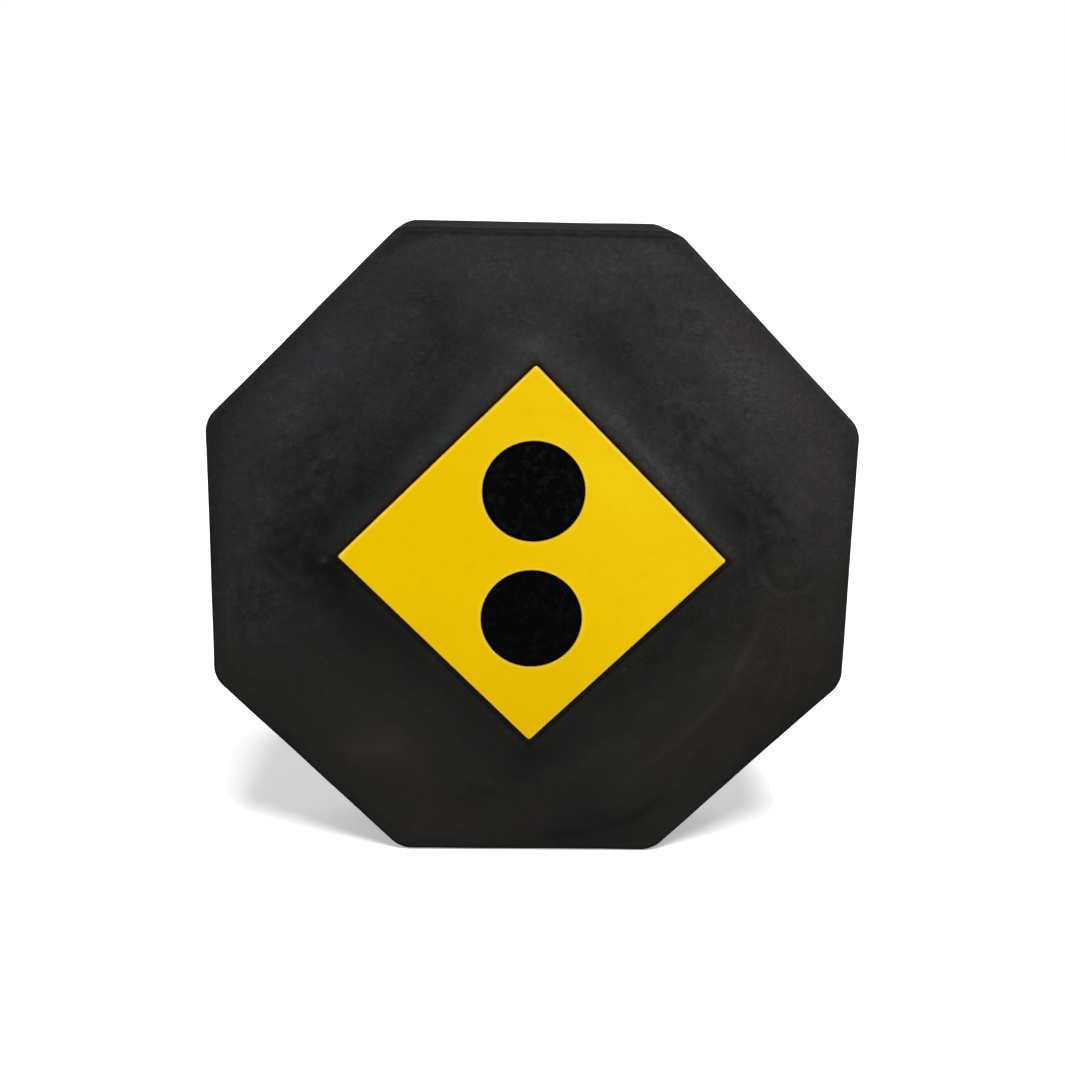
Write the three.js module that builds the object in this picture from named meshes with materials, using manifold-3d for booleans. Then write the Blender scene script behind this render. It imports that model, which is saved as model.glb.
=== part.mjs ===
// Archery target boss: an octagonal block of black foam with a square core that comes out at its front.
// Millimetres, +Z up. The boss stands on its bottom flat, and arrows come from -Y.

import * as THREE from "three";
import { mergeVertices } from "three/addons/utils/BufferGeometryUtils.js";
import Module from "manifold-3d";

const wasm = await Module();
wasm.setup();

// The block
const blockWidth = 600; // across opposite flats of the octagon
const blockDepth = 150; // from the core's face to the back
const outlineCornerRadius = 25;
const frontRimRadius = 5;
const innerCornerShare = 0.5; // of the outline corner radius, which the crown keeps
const backRimRadius = 3;
const crownWidth = 85; // the band inside the outline where the front falls away
const crownDrop = 5;
const lipWidth = 28; // the raised band round the pocket, with its crest
const lipHeight = 4;
const crestWidth = 3;
const mouthRadius = 2.5; // rounds the pocket's edge at the front and at the back

// The core, a wedge that is widest at its face
const coreWidth = 256; // across opposite flats at the face
const coreCornerRadius = 3;
const coreTaperDegrees = 2; // lean of each flank
const faceThickness = 6;
const faceRimRadius = 2;
const plugBackRimRadius = 3;

// The aiming spots
const spotDiameter = 94;
const spotSpacing = 122; // from centre to centre
const spotsRise = 3; // from the core's centre to the middle of the pair
const spotThickness = 2;
const spotRimRadius = 0.4;

// Fits between the pieces
const pocketClearance = 0.4; // each side of the core
const spotClearance = 0.3; // round each spot
const seatGap = 0.3; // under a piece that lies on another
const overrun = 5; // of every cut past the surface, and of the lip into the block

// Fineness
const cornerSteps = 4;
const rimSteps = 4;
const crownSteps = 6;
const lipSteps = 8;
const spotFacets = 72;

// The block is an octagon with level flats, and the core a square set on its corner
const octagon = { sides: 8, firstCorner: Math.PI / 8 };
const diamond = { sides: 4, firstCorner: 0 };

// All pieces are modelled with the centre of the core's face at the origin, so Y is the depth behind it
const plateau = lipHeight;
const back = blockDepth;
const coreTaper = Math.tan(THREE.MathUtils.degToRad(coreTaperDegrees));

// Points round a regular polygon whose flats lie at the apothem and whose corners are rounded
function roundedPolygon({ sides, firstCorner }, apothem, cornerRadius) {
  const halfTurn = Math.PI / sides;
  const cornerReach = (apothem - cornerRadius) / Math.cos(halfTurn);
  const outline = new THREE.Path();
  for (let corner = 0; corner < sides; corner++) {
    const angle = firstCorner + 2 * halfTurn * corner;
    const centreX = cornerReach * Math.cos(angle);
    const centreZ = cornerReach * Math.sin(angle);
    outline.absarc(centreX, centreZ, cornerRadius, angle - halfTurn, angle + halfTurn);
  }
  return outline.getPoints(cornerSteps);
}

// A solid through sections that follow one another from the back to the front
function loft(polygon, sections) {
  const rings = sections.map(({ apothem, cornerRadius }) => roundedPolygon(polygon, apothem, cornerRadius));
  const ringSize = rings[0].length;
  const positions = rings.flatMap((ring, level) => ring.flatMap((point) => [point.x, sections[level].y, point.y]));
  const triangles = [];
  for (let level = 0; level < rings.length - 1; level++) {
    for (let i = 0; i < ringSize; i++) {
      const here = level * ringSize + i;
      const next = level * ringSize + ((i + 1) % ringSize);
      triangles.push(here, next, next + ringSize);
      triangles.push(here, next + ringSize, here + ringSize);
    }
  }
  const front = (rings.length - 1) * ringSize;
  for (let i = 1; i < ringSize - 1; i++) {
    triangles.push(0, i + 1, i);
    triangles.push(front, front + i, front + i + 1);
  }
  const geometry = new THREE.BufferGeometry();
  geometry.setAttribute("position", new THREE.Float32BufferAttribute(positions, 3));
  geometry.setIndex(triangles);
  return geometry;
}

// Steps of a rounded edge, from the flank to the end face: how far each has turned in, and how far it is
// from the end face
function rounding(radius) {
  return Array.from({ length: rimSteps + 1 }, (_, step) => {
    const angle = (step / rimSteps) * (Math.PI / 2);
    return { turned: radius * (1 - Math.cos(angle)), below: radius * (1 - Math.sin(angle)) };
  });
}

function blockSections() {
  const section = (inset, y) => ({
    apothem: blockWidth / 2 - inset,
    cornerRadius: Math.max(outlineCornerRadius - inset, outlineCornerRadius * innerCornerShare),
    y,
  });
  const backRim = rounding(backRimRadius).reverse();
  const frontRim = rounding(frontRimRadius);
  const sections = backRim.map(({ turned, below }) => section(turned, back - below));
  sections.push(...frontRim.map(({ turned, below }) => section(turned, plateau + crownDrop + below)));
  for (let step = 1; step <= crownSteps; step++) {
    const way = step / crownSteps;
    const inset = THREE.MathUtils.lerp(frontRimRadius, crownWidth, way);
    sections.push(section(inset, plateau + crownDrop * (1 - way) ** 2));
  }
  return sections;
}

// The core's flank at a depth, moved out by an offset
function flankSection(offset, y) {
  return { apothem: coreWidth / 2 - coreTaper * y + offset, cornerRadius: coreCornerRadius + offset, y };
}

// The lip climbs from the plateau to the plane of the core's face, gently at its foot
function lipSections() {
  const section = (offset, y) => ({ ...flankSection(pocketClearance + offset, 0), y });
  const sections = [section(lipWidth, plateau + overrun)];
  for (let step = 0; step <= lipSteps; step++) {
    const way = step / lipSteps;
    const offset = THREE.MathUtils.lerp(lipWidth, crestWidth, way);
    const climb = way ** 2 * (2 - way);
    sections.push(section(offset, plateau - lipHeight * climb));
  }
  return sections;
}

function pocketSections() {
  const mouth = rounding(mouthRadius);
  const backMouth = mouth.map(({ turned, below }) => flankSection(pocketClearance + turned, back - below));
  const frontMouth = mouth.map(({ turned, below }) => flankSection(pocketClearance + turned, below));
  const pastBack = { ...backMouth.at(-1), y: back + overrun };
  const pastFront = { ...frontMouth.at(-1), y: -overrun };
  return [pastBack, ...backMouth.reverse(), ...frontMouth, pastFront];
}

function plugSections() {
  const backRim = rounding(plugBackRimRadius).reverse();
  const sections = backRim.map(({ turned, below }) => ({
    ...flankSection(0, back - below),
    apothem: flankSection(-turned, back - below).apothem,
  }));
  sections.push(flankSection(0, faceThickness + seatGap));
  return sections;
}

function faceSections() {
  const frontRim = rounding(faceRimRadius).map(({ turned, below }) => flankSection(-turned, below));
  return [flankSection(0, faceThickness), ...frontRim];
}

// A round disc about the depth axis, from its front to its back
function disc(radius, rimRadius, front, thickness) {
  const rim = rounding(rimRadius).reverse();
  const profile = [
    new THREE.Vector2(0, front),
    ...rim.map(({ turned, below }) => new THREE.Vector2(radius - turned, front + below)),
    new THREE.Vector2(radius, front + thickness),
    new THREE.Vector2(0, front + thickness),
  ];
  return new THREE.LatheGeometry(profile, spotFacets);
}

// A closed geometry as a solid that can be joined and cut
function toSolid(geometry) {
  const bare = geometry.clone();
  bare.deleteAttribute("normal");
  bare.deleteAttribute("uv");
  const merged = mergeVertices(bare);
  const index = merged.index.array;
  const triangles = [];
  for (let i = 0; i < index.length; i += 3) {
    const [a, b, c] = [index[i], index[i + 1], index[i + 2]];
    if (a !== b && b !== c && c !== a) {
      triangles.push(a, b, c);
    }
  }
  const vertProperties = new Float32Array(merged.attributes.position.array);
  const triVerts = new Uint32Array(triangles);
  return new wasm.Manifold(new wasm.Mesh({ numProp: 3, vertProperties, triVerts }));
}

function toGeometry(solid) {
  const { vertProperties, triVerts } = solid.getMesh();
  const geometry = new THREE.BufferGeometry();
  geometry.setAttribute("position", new THREE.BufferAttribute(vertProperties, 3));
  geometry.setIndex(new THREE.BufferAttribute(triVerts, 1));
  geometry.computeVertexNormals();
  return geometry;
}

function piece(name, solid, material) {
  const mesh = new THREE.Mesh(toGeometry(solid), material);
  mesh.name = name;
  return mesh;
}

const spotHeights = {
  upper_aiming_spot: spotsRise + spotSpacing / 2,
  lower_aiming_spot: spotsRise - spotSpacing / 2,
};

function makeBlock() {
  const block = toSolid(loft(octagon, blockSections()));
  const lip = toSolid(loft(diamond, lipSections()));
  const pocket = toSolid(loft(diamond, pocketSections()));
  const foam = new THREE.MeshStandardMaterial({ color: 0x2b2a2a, roughness: 0.6, metalness: 0 });
  return piece("body_block", block.add(lip).subtract(pocket), foam);
}

function makePlug() {
  const foam = new THREE.MeshStandardMaterial({ color: 0x222222, roughness: 0.75, metalness: 0 });
  return piece("core_plug", toSolid(loft(diamond, plugSections())), foam);
}

function makeFace() {
  let face = toSolid(loft(diamond, faceSections()));
  const recessDepth = spotThickness + seatGap;
  const recessGeometry = disc(spotDiameter / 2 + spotClearance, 0, -overrun, overrun + recessDepth);
  const recess = toSolid(recessGeometry);
  for (const height of Object.values(spotHeights)) {
    face = face.subtract(recess.translate([0, 0, height]));
  }
  const yellow = new THREE.MeshStandardMaterial({ color: 0xecc50c, roughness: 0.5, metalness: 0 });
  return piece("core_face", face, yellow);
}

function makeSpots() {
  const spot = toSolid(disc(spotDiameter / 2, spotRimRadius, 0, spotThickness));
  return Object.entries(spotHeights).map(([name, height]) => {
    const black = new THREE.MeshStandardMaterial({ color: 0x090a0a, roughness: 0.9, metalness: 0 });
    const mesh = piece(name, spot, black);
    mesh.position.z = height;
    return mesh;
  });
}

const core = new THREE.Group();
core.add(makePlug(), makeFace(), ...makeSpots());

const boss = new THREE.Group();
boss.add(makeBlock(), core);
boss.position.set(0, -blockDepth / 2, blockWidth / 2);

export default boss;
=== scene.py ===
import math

import bmesh
import bpy
from mathutils import Matrix, Vector, noise


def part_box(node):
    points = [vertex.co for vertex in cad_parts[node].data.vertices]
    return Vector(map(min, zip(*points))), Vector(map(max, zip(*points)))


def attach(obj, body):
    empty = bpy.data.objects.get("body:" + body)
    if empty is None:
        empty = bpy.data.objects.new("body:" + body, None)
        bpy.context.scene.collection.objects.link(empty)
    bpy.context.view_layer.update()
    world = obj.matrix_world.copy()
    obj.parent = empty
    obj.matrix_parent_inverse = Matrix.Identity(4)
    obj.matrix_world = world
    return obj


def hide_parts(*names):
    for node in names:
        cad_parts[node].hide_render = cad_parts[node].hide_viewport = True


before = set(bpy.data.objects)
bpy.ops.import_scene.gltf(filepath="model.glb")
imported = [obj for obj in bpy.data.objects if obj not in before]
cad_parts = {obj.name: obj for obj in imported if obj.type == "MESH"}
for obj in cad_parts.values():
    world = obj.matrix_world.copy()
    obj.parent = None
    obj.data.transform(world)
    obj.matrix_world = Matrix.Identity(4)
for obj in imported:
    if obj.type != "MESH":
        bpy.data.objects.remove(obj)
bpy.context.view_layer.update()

# Archery target boss: a black foam octagon with a yellow core that carries two black spots.
# Metres, +Z up, and the face that is shot at looks along -Y.

blockLow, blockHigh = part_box("body_block")
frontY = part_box("core_face")[0].y
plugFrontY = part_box("core_plug")[0].y
backY = blockHigh.y
halfWidth = (blockHigh.z - blockLow.z) / 2
middle = (blockHigh.z + blockLow.z) / 2  # height of the core's centre
spotBoxes = [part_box("upper_aiming_spot"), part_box("lower_aiming_spot")]
spotHeights = [(low.z + high.z) / 2 for low, high in spotBoxes]

taperDegrees = 2  # of the core and of its pocket
taper = math.tan(math.radians(taperDegrees))
rootHalf = math.sqrt(0.5)
millimetres = 1000  # in a metre
tiny = 1e-6  # metres, less than any step of the meshes


def addObject(name, data):
    made = bpy.data.objects.new(name, data)
    bpy.context.scene.collection.objects.link(made)
    return made


# Camera at the photograph's viewing angle

cameraLook = {
    "lens": 50.0,
    "sensorWidth": 36.0,
    "distance": 1.3647,
    "azimuth": -1.70,
    "elevation": 14.51,
    "roll": 1.13,
    "aimHeight": 0.3250,
}


def directionTo(azimuth, elevation):
    sideways = math.radians(azimuth)
    up = math.radians(elevation)
    return Vector((math.sin(sideways) * math.cos(up), -math.cos(sideways) * math.cos(up), math.sin(up)))


def makeCamera(look):
    data = bpy.data.cameras.new("camera")
    data.lens = look["lens"]
    data.sensor_width = look["sensorWidth"]
    camera = addObject("camera", data)
    away = directionTo(look["azimuth"], look["elevation"])
    aim = Vector((0, frontY, look["aimHeight"]))
    facing = away.to_track_quat("Z", "Y").to_matrix().to_4x4()
    roll = Matrix.Rotation(math.radians(look["roll"]), 4, "Z")
    camera.matrix_world = Matrix.Translation(aim + away * look["distance"]) @ facing @ roll
    bpy.context.scene.camera = camera


makeCamera(cameraLook)
print("camera ready")


# Shader tools

# An sRGB colour, 0 to 255, as Blender's linear one
def tone(red, green, blue):
    def linear(level):
        share = level / 255
        return share / 12.92 if share <= 0.04045 else ((share + 0.055) / 1.055) ** 2.4
    return (linear(red), linear(green), linear(blue), 1)


# A node's output, with the operators of plain maths
class Wire:
    def __init__(self, finish, socket):
        self.finish = finish
        self.socket = socket

    def __add__(self, other):
        return self.finish.maths("ADD", self, other)

    def __sub__(self, other):
        return self.finish.maths("SUBTRACT", self, other)

    def __rsub__(self, other):
        return self.finish.maths("SUBTRACT", other, self)

    def __mul__(self, other):
        return self.finish.maths("MULTIPLY", self, other)

    __radd__ = __add__


# The node tree of a material, of the world or of a group
class Finish:
    def __init__(self, tree):
        self.tree = tree
        self.tree.nodes.clear()

    # Adds a node: its type, its settings, then a value or a wire for each socket
    def node(self, kind, settings=None, sockets=None, out=0):
        made = self.tree.nodes.new(kind)
        for name, value in (settings or {}).items():
            setattr(made, name, value)
        for key, value in (sockets or {}).items():
            if isinstance(value, Wire):
                self.tree.links.new(value.socket, made.inputs[key])
            else:
                made.inputs[key].default_value = value
        return Wire(self, made.outputs[out])

    # Ends the tree with its output node
    def close(self, *results, output="ShaderNodeOutputMaterial"):
        ending = self.tree.nodes.new(output)
        for result, socket in zip(results, ending.inputs):
            self.tree.links.new(result.socket, socket)

    # All outputs of a node, of which one is given
    def outputs(self, wire):
        return [Wire(self, output) for output in wire.socket.node.outputs]

    def maths(self, operation, *values):
        return self.node("ShaderNodeMath", {"operation": operation}, dict(enumerate(values)))

    def vector(self, operation, *values):
        return self.node("ShaderNodeVectorMath", {"operation": operation}, dict(enumerate(values)))

    # A smooth step from 0 at the start to 1 at the end, whichever of the two is the larger
    def rise(self, value, start, end):
        low, high = min(start, end), max(start, end)
        first, last = (0.0, 1.0) if start < end else (1.0, 0.0)
        sockets = {"Value": value, "From Min": low, "From Max": high, "To Min": first, "To Max": last}
        return self.node("ShaderNodeMapRange", {"interpolation_type": "SMOOTHSTEP"}, sockets)

    # Mixes two colours, which this node takes at its sockets 6 and 7 and gives back at 2
    def mix(self, share, first, second, blend="MIX"):
        settings = {"data_type": "RGBA", "blend_type": blend, "clamp_result": False}
        return self.node("ShaderNodeMix", settings, {0: share, 6: first, 7: second}, out=2)

    # A point of the surface in metres
    def objectPlace(self):
        return self.node("ShaderNodeTexCoord", out="Object")

    # The three parts of a vector
    def parts(self, vector):
        return self.outputs(self.node("ShaderNodeSeparateXYZ", None, {0: vector}))

    # Where a place lies in the face's plane: across and tall
    def inFace(self, place):
        across, _, tall = self.parts(place)
        return across, tall

    # How far out towards the sides of a square set on its corner
    def slant(self, across, up):
        return (self.maths("ABSOLUTE", across) + self.maths("ABSOLUTE", up)) * rootHalf

    # Noise about zero from a look's list: size of its lumps in metres, detail, roughness and distortion
    def layer(self, place, look, name):
        size, *others = look["noises"][name]
        sockets = {"Vector": place, "Scale": 1 / size}
        sockets.update(zip(("Detail", "Roughness", "Distortion"), others))
        return self.node("ShaderNodeTexNoise", None, sockets) - 0.5

    # Noise of three parts, each of them about a half
    def hues(self, place, size, detail):
        sockets = {"Vector": place, "Scale": 1 / size, "Detail": detail}
        return self.node("ShaderNodeTexNoise", None, sockets, out=1)

    # Cells of a size in metres: the distance to the nearest centre, as a share of the size
    def cells(self, place, size):
        return self.node("ShaderNodeTexVoronoi", None, {"Vector": place, "Scale": 1 / size})

    # The place moved about by noise, so that listed marks are not too neat
    def swayed(self, place, size, reach):
        centred = self.vector("SUBTRACT", self.hues(place, size, 3.0), (0.5, 0.5, 0.5))
        return self.vector("ADD", place, self.vector("MULTIPLY", centred, (reach * 2,) * 3))

    # The place squeezed along a direction in the face's plane, so that noise on it is drawn out that way
    def drawn(self, place, turn, stretch):
        sockets = {"Vector": place, "Rotation": (0, -math.radians(turn), 0), "Scale": (stretch, 1, 1)}
        return self.node("ShaderNodeMapping", {"vector_type": "TEXTURE"}, sockets)

    # A mark's group node: its place and reach in millimetres, and the sum that it adds its soft fade to
    def mark(self, point, shape, strength=0.0, total=0.0, out="Sum"):
        across, tall = point
        markAcross, markUp, halfLong, halfWide, turn = shape
        cosine = millimetres * math.cos(math.radians(turn))
        sine = millimetres * math.sin(math.radians(turn))
        sockets = {
            "Across": across,
            "Tall": tall,
            "Total": total,
            "Strength": strength,
            "Mark Across": markAcross / millimetres,
            "Mark Tall": middle + markUp / millimetres,
            "Long Cosine": cosine / halfLong,
            "Long Sine": sine / halfLong,
            "Wide Cosine": cosine / halfWide,
            "Wide Sine": sine / halfWide,
        }
        return self.node("ShaderNodeGroup", {"node_tree": markGroup}, sockets, out)

    # How far a point is from a mark, as a share of the mark's reach
    def fromMark(self, point, shape):
        return self.mark(point, shape, out="Distance")

    # How far a point is from the middle of each spot, as shares of a radius
    def fromSpots(self, point, radius):
        reach = radius * millimetres
        shapes = [(0, (height - middle) * millimetres, reach, reach, 0) for height in spotHeights]
        return [self.fromMark(point, shape) for shape in shapes]

    # The sum of soft marks
    def marks(self, place, table):
        point = self.inFace(place)
        total = 0.0
        for *shape, strength in table:
            total = self.mark(point, shape, strength, total)
        return total

    # The shader of a foam skin, with its relief in millimetres
    def surface(self, colour, roughness, specular, relief):
        bump = {"Strength": 1.0, "Distance": 1 / millimetres, "Height": relief}
        return self.node("ShaderNodeBsdfPrincipled", None, {
            "Base Color": colour,
            "Roughness": roughness,
            "Specular IOR Level": specular,
            "Normal": self.node("ShaderNodeBump", None, bump),
        })


# The group behind every mark. It fades smoothly from the mark's middle to its reach, times the strength.
def makeMarkGroup():
    tree = bpy.data.node_groups.new("soft mark", "ShaderNodeTree")
    names = ("Across", "Tall", "Total", "Strength", "Mark Across", "Mark Tall")
    names += ("Long Cosine", "Long Sine", "Wide Cosine", "Wide Sine")
    for name in names:
        tree.interface.new_socket(name, in_out="INPUT", socket_type="NodeSocketFloat")
    for name in ("Sum", "Distance"):
        tree.interface.new_socket(name, in_out="OUTPUT", socket_type="NodeSocketFloat")
    finish = Finish(tree)
    given = dict(zip(names, finish.outputs(finish.node("NodeGroupInput"))))
    right = given["Across"] - given["Mark Across"]
    above = given["Tall"] - given["Mark Tall"]
    lengthwise = right * given["Long Cosine"] + above * given["Long Sine"]
    sidewise = above * given["Wide Cosine"] - right * given["Wide Sine"]
    distance = finish.maths("SQRT", lengthwise * lengthwise + sidewise * sidewise)
    total = given["Total"] + finish.rise(distance, 1.0, 0.0) * given["Strength"]
    finish.close(total, distance, output="NodeGroupOutput")
    return tree


markGroup = makeMarkGroup()


def newMaterial(name):
    material = bpy.data.materials.new(name)
    material.use_nodes = True
    return material


print("shader tools ready")


# Mesh tools: closed rings of edges, which are drawn out into walls and joined by bands

cornerSteps = 8  # of every round corner
centreReach = 0.002  # size of the last ring before an end is closed at its centre
bandPush = Vector((0, 0.02, 0))  # sets two rings apart while they are bridged
waveSeed = 3.7  # where the waves are taken from the noise
noiseGain = 0.6  # of noise about zero that is raised by a half


def along(depth):
    return Vector((0, depth, middle))


# A ring round an octagon with level flats or a square set on its corner, with round corners and even steps
# along its flats
def makeRing(bm, sides, apothem, radius, depth, flatSteps):
    halfTurn = math.pi / sides
    upright = Matrix.Rotation(math.pi / 2, 4, "X")
    turn = Matrix.Rotation(halfTurn if sides == 8 else 0, 4, "Z")
    known = set(bm.faces)
    start = bmesh.ops.create_circle(
        bm,
        cap_ends=True,
        segments=sides,
        radius=apothem / math.cos(halfTurn),
        matrix=Matrix.Translation(along(depth)) @ upright @ turn,
    )
    bmesh.ops.bevel(
        bm,
        geom=start["verts"],
        offset=radius * math.tan(halfTurn),
        segments=cornerSteps,
        affect="VERTICES",
        profile=0.5,
        material=-1,
    )
    disc = [face for face in bm.faces if face not in known][0]
    edges = list(disc.edges)
    bmesh.ops.delete(bm, geom=[disc], context="FACES_ONLY")
    halfFlat = max(edge.calc_length() for edge in edges) / 2
    flats = [edge for edge in edges if edge.calc_length() > halfFlat]
    arcs = [edge for edge in edges if edge.calc_length() <= halfFlat]
    divided = bmesh.ops.subdivide_edges(bm, edges=flats, cuts=flatSteps - 1)["geom"]
    return arcs + pickEdges(divided)


def pickEdges(items):
    return [item for item in items if isinstance(item, bmesh.types.BMEdge)]


def pickVerts(items):
    return [item for item in items if isinstance(item, bmesh.types.BMVert)]


# Draws a ring out through stations, each an apothem and a depth, and gives back the last ring
def drawOut(bm, ring, apothem, stations):
    edges = ring
    for nextApothem, depth in stations:
        made = bmesh.ops.extrude_edge_only(bm, edges=edges)["geom"]
        verts = pickVerts(made)
        edges = pickEdges(made)
        grow = nextApothem / apothem
        bmesh.ops.scale(bm, verts=verts, vec=(grow, 1, grow), space=Matrix.Translation(-along(0)))
        for vert in verts:
            vert.co.y = depth
        apothem = nextApothem
    return edges


# Stations of a rounded edge between a flank and an end: how far in, and how far from the end
def rounding(radius, steps):
    angles = [math.pi / 2 * step / steps for step in range(steps + 1)]
    return [(radius * (1 - math.cos(angle)), radius * (1 - math.sin(angle))) for angle in angles]


# Even steps from one station to another, without the first
def evenly(first, last, steps):
    shares = [step / steps for step in range(1, steps + 1)]
    return [tuple(a + (b - a) * share for a, b in zip(first, last)) for share in shares]


# Joins two rings of as many edges by a band, and divides the band into rows. The rings are bridged with one
# of them pushed back, because flat in one plane they may be joined the wrong way round.
def joinRings(bm, first, second, rows):
    pushed = list({vert for edge in second for vert in edge.verts})
    bmesh.ops.translate(bm, verts=pushed, vec=bandPush)
    band = bmesh.ops.bridge_loops(bm, edges=first + second)
    bmesh.ops.translate(bm, verts=pushed, vec=-bandPush)
    bmesh.ops.subdivide_edges(bm, edges=band["edges"], cuts=rows - 1)


# Closes a small ring with fans to its centre
def closeRing(bm, ring):
    made = bmesh.ops.contextual_create(bm, geom=ring)["faces"]
    bmesh.ops.poke(bm, faces=made)


# Closes a square ring by a flat end of several rows
def closeEnd(bm, ring, half, depth, rows):
    closeRing(bm, drawOut(bm, ring, half, evenly((half, depth), (centreReach, depth), rows)))


# Edges that smooth shading doesn't run across
def keepSharp(edges):
    for edge in edges:
        edge.smooth = False


# How far a value is on the way from a start to an end, from 0 to 1
def shareOf(value, start, end):
    return min(1, max(0, (value - start) / (end - start)))


# Sinks a surface by an amount that depends on the place; never lets it rise
def sink(bm, verts, amount):
    bm.normal_update()
    moves = [(vert, vert.normal * amount(vert.co)) for vert in verts]
    for vert, move in moves:
        vert.co -= move


# Noise from 0 to 1 with lumps of a size in metres
def lump(place, size, seed):
    point = place / size + Vector((seed, seed, seed))
    return min(1, max(0, 0.5 + noiseGain * noise.noise(point)))


# Depth of the waves of a cast skin, each with a size and a depth
def waveDepth(place, waves):
    return sum(depth * lump(place, size, waveSeed) for size, depth in waves)


# Makes points in one place one, and turns all faces outwards
def mend(bm):
    bmesh.ops.remove_doubles(bm, verts=bm.verts, dist=tiny)
    bmesh.ops.recalc_face_normals(bm, faces=bm.faces)


def addMesh(bm, name, material):
    mesh = bpy.data.meshes.new(name)
    bm.to_mesh(mesh)
    bm.free()
    mesh.materials.append(material)
    return addObject(name, mesh)


def finishPiece(bm, name, body, slot, material, *replaced):
    mend(bm)
    piece = addMesh(bm, name, material)
    piece.data.shade_smooth()
    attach(piece, body)
    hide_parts(*replaced)
    print(name, len(piece.data.polygons), "faces")


print("mesh tools ready")


# The block of foam

blockLook = {
    "outlineRadius": 0.025,
    "frontRim": 0.005,
    "backRim": 0.003,
    "crownWidth": 0.085,  # the band inside the outline where the front falls away
    "crownDrop": 0.005,
    "crownPower": 20,  # the higher it is, the sharper the crown turns at the corners
    "lipWidth": 0.028,  # the raised band round the pocket, with its crest
    "lipHeight": 0.004,
    "crestWidth": 0.003,
    "hollowDepth": 0.0012,  # a shallow hollow that follows the lip
    "hollowFrom": 0.008,
    "hollowTo": 0.075,
    "pocketHalf": 0.1284,  # half the pocket's width at the front
    "pocketRadius": 0.0034,
    "mouthRadius": 0.0025,
    "waves": ((0.13, 0.0010), (0.045, 0.0004), (0.014, 0.00012)),
    "wavesFrom": 0.004,  # distance from the pocket at which the waves start
    "wavesFull": 0.034,
    "flatSteps": 48,
    "pocketFlatSteps": 104,
    "frontRimSteps": 6,
    "backRimSteps": 4,
    "mouthSteps": 6,
    "frontRows": 56,
    "sideRows": 24,
    "backRows": 24,
    "wallRows": 14,
    "tone": tone(32, 32, 32),
    "topTint": (1.0, 1.008, 1.018, 1),
    "bottomTint": (1.0, 0.96, 0.865, 1),
    "rosyTint": (1.155, 0.945, 0.885, 1),
    "mauveTint": (1.055, 0.955, 1.01, 1),
    "blueTint": (0.975, 0.975, 1.06, 1),
    "fringeTint": (1.12, 0.70, 0.22, 1),
    "roughness": 0.6,
    "specular": 0.05,
    "frontFull": 0.008,  # depth to which the front's finish is in full, and where it ends
    "frontEnds": 0.012,
    "pressed": (242, -5, 25, 25, 0),  # the mark of a round object, as a mark without a strength
    "noises": {  # size in metres, detail, roughness and distortion
        "clouds": (0.11, 3.0, 0.55, 0.4),
        "mottle": (0.03, 4.0, 0.62, 0.8),
        "patches": (0.0055, 4.0, 0.65, 0.5),
        "grain": (0.0022, 2.0, 0.6),
        "dabs": (0.012, 4.0, 0.7),
        "ripples": (0.0030, 2.0, 0.6),
        "wear": (0.012, 3.0),
        "dimples": (0.018, 2.0),
        "pored": (0.02, 2.0),
    },
    "sways": {  # of the places of marks: size and reach in metres
        "loose": (0.05, 0.016),
        "slight": (0.03, 0.0025),
        "torn": (0.012, 0.004),
        "pressed": (0.02, 0.003),
    },
    "stops": {  # of brightness that each feature adds where it is in full
        "clouds": 0.7,
        "mottle": 0.6,
        "patches": 1.3,
        "grain": 1.2,
        "specks": -0.5,
        "ripples": -0.35,
        "dabs": -0.85,
        "pressedOutside": 0.24,
        "pressedInside": -0.36,
        "wear": 0.2,
        # painted shade in the groove below the core
        "grooveShade": -2.15,
        "topRim": -0.8,
        "sides": -0.3,
        # painted light and shade by slope, partly dust
        "dustAndSlopeShade": 1.5,
        # painted sheen towards the upper right
        "paintedSheenUpperRight": 0.65,
    },
    "relief": {  # in millimetres
        "dimples": 0.18,
        "patches": 0.25,
        "grain": 0.12,
        "pores": -0.1,
        "pressed": 0.12,
        "scuffedAndCreaseShade": 0.04,
        "dabs": -0.051,
    },
}
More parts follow.
